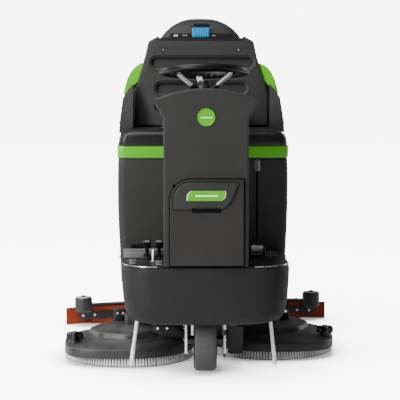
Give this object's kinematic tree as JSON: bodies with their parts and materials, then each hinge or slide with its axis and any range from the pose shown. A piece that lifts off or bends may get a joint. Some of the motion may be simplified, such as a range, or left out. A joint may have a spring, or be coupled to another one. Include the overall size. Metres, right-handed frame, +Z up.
{
  "type": "ride-on scrubber",
  "caption": "Ride-on floor scrubber with a steered drive wheel, disc brush decks, bowed squeegee, battery box, seat, water tanks and domed lid.",
  "frame": {"origin": "on the floor under the middle of the machine's box", "axes": "+Z up, the front faces -Y, +X is the driver's left"},
  "size_m": [1.2054, 1.495, 1.395],
  "materials": {
    "body_plastic": "textured dark grey rotomoulded plastic",
    "black_plastic": "satin black moulded plastic",
    "green_plastic": "satin bright green plastic",
    "blue_plastic": "satin blue plastic",
    "red_plastic": "glossy red plastic",
    "painted_steel": "black powder coat",
    "bare_steel": "bright zinc-plated steel",
    "tyre_rubber": "solid black tyre",
    "grey_polyurethane": "grey moulded hub",
    "bristle": "pale nylon bristle",
    "gum_rubber": "red-brown gum rubber",
    "seat_vinyl": "black grained seat vinyl"
  },
  "bodies": {
    "chassis": {"chassis_frame": "painted_steel", "rear_axle": "bare_steel", "steering_head": "painted_steel", "nose_bumper": "body_plastic", "footwell_floor": "black_plastic", "column_shroud": "body_plastic", "storage_bin": "black_plastic", "dashboard": "body_plastic", "battery_box": "body_plastic", "green_belt": "green_plastic", "battery_front": "black_plastic", "battery_rear": "black_plastic", "vacuum_motor": "painted_steel", "controller_box": "painted_steel", "solution_tank": "body_plastic", "recovery_tank": "body_plastic", "backrest_panel": "body_plastic", "shoulder_cover_left": "green_plastic", "shoulder_cover_right": "green_plastic", "solution_tube_left": "bare_steel", "solution_tube_right": "bare_steel"},
    "drive_fork": {"steering_fork": "painted_steel", "drive_motor": "painted_steel"},
    "drive_wheel": {"front_tyre": "tyre_rubber", "front_hub": "bare_steel"},
    "steering_wheel": {"steering_rim": "black_plastic", "steering_spokes": "bare_steel", "steering_shaft": "bare_steel"},
    "rear_wheel_left": {"rear_tyre_left": "tyre_rubber", "rear_hub_left": "grey_polyurethane"},
    "brush_deck_left": {"deck_left": "black_plastic", "brush_motor_left": "painted_steel", "deck_knob_left": "black_plastic"},
    "brush_left": {"brush_left": "bristle"},
    "rear_wheel_right": {"rear_tyre_right": "tyre_rubber", "rear_hub_right": "grey_polyurethane"},
    "brush_deck_right": {"deck_right": "black_plastic", "brush_motor_right": "painted_steel", "deck_knob_right": "black_plastic"},
    "brush_right": {"brush_right": "bristle"},
    "squeegee_arm": {"squeegee_arm": "painted_steel"},
    "squeegee": {"squeegee_channel": "painted_steel", "blade_front": "gum_rubber", "blade_rear": "gum_rubber", "suction_nozzle": "black_plastic"},
    "roller_left": {"roller_left": "black_plastic"},
    "roller_right": {"roller_right": "black_plastic"},
    "storage_door": {"storage_door": "body_plastic", "door_handle": "body_plastic"},
    "accelerator_pedal": {"accelerator_pedal": "black_plastic"},
    "brake_pedal": {"brake_pedal": "black_plastic"},
    "lift_lever": {"lift_lever": "black_plastic"},
    "emergency_stop": {"emergency_stop": "red_plastic"},
    "key_switch": {"key_switch": "bare_steel"},
    "seat": {"seat_deck": "black_plastic", "seat_cushion": "seat_vinyl", "side_wing_left": "body_plastic", "side_wing_right": "body_plastic"},
    "tank_lid": {"tank_lid": "body_plastic"},
    "lid_catch": {"lid_catch": "blue_plastic"}
  },
  "joints": [
    {"name": "steer_yaw", "type": "hinge", "parent": "chassis", "child": "drive_fork", "pos_m": [0, -0.55, 0.122], "axis": [0, 0, 1], "range_deg": [-45, 45]},
    {"name": "drive_wheel_spin", "type": "hinge", "parent": "drive_fork", "child": "drive_wheel", "pos_m": [0, -0.55, 0.122], "axis": [1, 0, 0], "continuous": true},
    {"name": "steering_wheel_turn", "type": "hinge", "parent": "chassis", "child": "steering_wheel", "pos_m": [0, -0.41, 1.175], "axis": [0, 0.1045, 0.9945], "range_deg": [-136, 136]},
    {"name": "rear_wheel_spin_left", "type": "hinge", "parent": "chassis", "child": "rear_wheel_left", "pos_m": [-0.272, 0.33, 0.14], "axis": [1, 0, 0], "continuous": true},
    {"name": "rear_wheel_spin_right", "type": "hinge", "parent": "chassis", "child": "rear_wheel_right", "pos_m": [0.272, 0.33, 0.14], "axis": [1, 0, 0], "continuous": true},
    {"name": "deck_lift_left", "type": "slide", "parent": "chassis", "child": "brush_deck_left", "axis": [0, 0, 1], "range_m": [0, 0.05]},
    {"name": "deck_lift_right", "type": "slide", "parent": "chassis", "child": "brush_deck_right", "axis": [0, 0, 1], "range_m": [0, 0.05]},
    {"name": "brush_spin_left", "type": "hinge", "parent": "brush_deck_left", "child": "brush_left", "pos_m": [-0.305, -0.24, 0.06], "axis": [0, 0, 1], "continuous": true},
    {"name": "brush_spin_right", "type": "hinge", "parent": "brush_deck_right", "child": "brush_right", "pos_m": [0.281, -0.11, 0.06], "axis": [0, 0, 1], "continuous": true},
    {"name": "squeegee_lift", "type": "hinge", "parent": "chassis", "child": "squeegee_arm", "pos_m": [0, 0.145, 0.168], "axis": [1, 0, 0], "range_deg": [0, 12]},
    {"name": "squeegee_swing", "type": "hinge", "parent": "squeegee_arm", "child": "squeegee", "pos_m": [0, 0.45, 0.1555], "axis": [0, 0, 1], "range_deg": [-17, 3]},
    {"name": "roller_spin_left", "type": "hinge", "parent": "squeegee", "child": "roller_left", "pos_m": [-0.5307, 0.42333, 0.12], "axis": [0, 0, 1], "continuous": true},
    {"name": "roller_spin_right", "type": "hinge", "parent": "squeegee", "child": "roller_right", "pos_m": [0.52139, 0.55251, 0.12], "axis": [0, 0, 1], "continuous": true},
    {"name": "storage_door_hinge", "type": "hinge", "parent": "chassis", "child": "storage_door", "pos_m": [0, -0.722, 0.44], "axis": [1, 0, 0], "range_deg": [0, 60]},
    {"name": "accelerator_press", "type": "hinge", "parent": "chassis", "child": "accelerator_pedal", "pos_m": [-0.18, -0.47, 0.447], "axis": [1, 0, 0], "range_deg": [0, 12], "stiffness_Nm_per_rad": 3, "springref_deg": -5.73},
    {"name": "brake_press", "type": "hinge", "parent": "chassis", "child": "brake_pedal", "pos_m": [-0.228, -0.47, 0.447], "axis": [1, 0, 0], "range_deg": [0, 12], "stiffness_Nm_per_rad": 4, "springref_deg": -5.73},
    {"name": "lever_pull", "type": "hinge", "parent": "chassis", "child": "lift_lever", "pos_m": [0.213, -0.4, 0.462], "axis": [1, 0, 0], "range_deg": [-25, 0]},
    {"name": "emergency_stop_press", "type": "slide", "parent": "chassis", "child": "emergency_stop", "axis": [0, 0, -1], "range_m": [0, 0.004]},
    {"name": "key_turn", "type": "hinge", "parent": "chassis", "child": "key_switch", "pos_m": [-0.105, -0.43, 1.077], "axis": [0, 0, -1], "range_deg": [0, 90]},
    {"name": "seat_tip", "type": "hinge", "parent": "chassis", "child": "seat", "pos_m": [-0.3495, -0.085, 0.8655], "axis": [0, -1, 0], "range_deg": [0, 65]},
    {"name": "tank_lid_hinge", "type": "hinge", "parent": "chassis", "child": "tank_lid", "pos_m": [0, 0.656, 1.309], "axis": [-1, 0, 0], "range_deg": [0, 80]},
    {"name": "lid_catch_pull", "type": "hinge", "parent": "tank_lid", "child": "lid_catch", "pos_m": [0, 0.198, 1.353], "axis": [-1, 0, 0], "range_deg": [0, 30], "stiffness_Nm_per_rad": 0.2, "springref_deg": -5.73}
  ],
  "couplings": [
    {"joint": "steering_wheel_turn", "follows": "steer_yaw", "ratio": 3},
    {"joint": "deck_lift_right", "follows": "deck_lift_left", "ratio": 1},
    {"joint": "lever_pull", "follows": "squeegee_lift", "ratio": -2.08}
  ]
}
